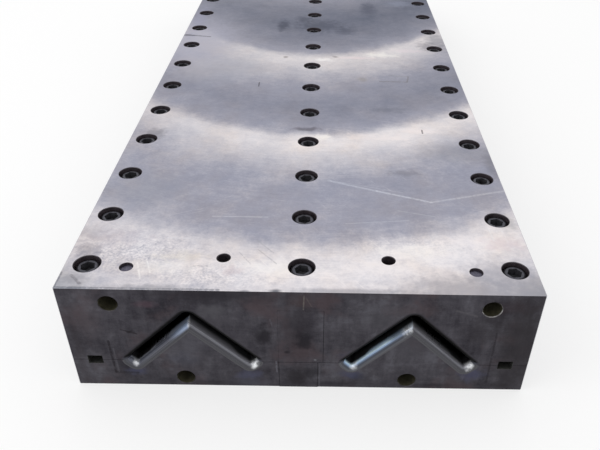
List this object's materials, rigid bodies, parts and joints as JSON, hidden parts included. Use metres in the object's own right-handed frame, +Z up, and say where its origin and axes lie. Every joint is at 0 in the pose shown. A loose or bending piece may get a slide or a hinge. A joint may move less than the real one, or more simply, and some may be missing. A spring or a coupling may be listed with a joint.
{
  "type": "pultrusion die",
  "caption": "Long flat split steel die with two V-shaped cavities running from a flared entry face to the exit, for pultruding angle profiles.",
  "frame": {"origin": "middle of the base, on the floor", "axes": "+X to the right seen from the entry, +Y along the die from the entry face to the exit face, +Z up"},
  "size_m": [0.35, 0.9, 0.1],
  "materials": {
    "die_steel": "ground tool steel, bright on top, dull and stained on the entry face, chromed in the cavities",
    "bar_steel": "ground tool steel, dull and stained",
    "screw_black": "black oxide",
    "hardened_steel": "hardened and ground",
    "plug_steel": "turned, dull grey"
  },
  "bodies": {
    "root": {"clamp_screws_centre": "screw_black", "clamp_screws_left": "screw_black", "clamp_screws_right": "screw_black", "dowel_front": "hardened_steel", "dowel_rear": "hardened_steel", "key_left_1": "hardened_steel", "key_left_2": "hardened_steel", "key_left_3": "hardened_steel", "key_left_4": "hardened_steel", "key_right_1": "hardened_steel", "key_right_2": "hardened_steel", "key_right_3": "hardened_steel", "key_right_4": "hardened_steel", "lower_centre_bar": "bar_steel", "lower_die_left": "die_steel", "lower_die_right": "die_steel", "plug_left": "plug_steel", "plug_right": "plug_steel", "tie_screws_left": "screw_black", "tie_screws_right": "screw_black", "upper_centre_bar": "bar_steel", "upper_die": "die_steel"}
  },
  "joints": []
}
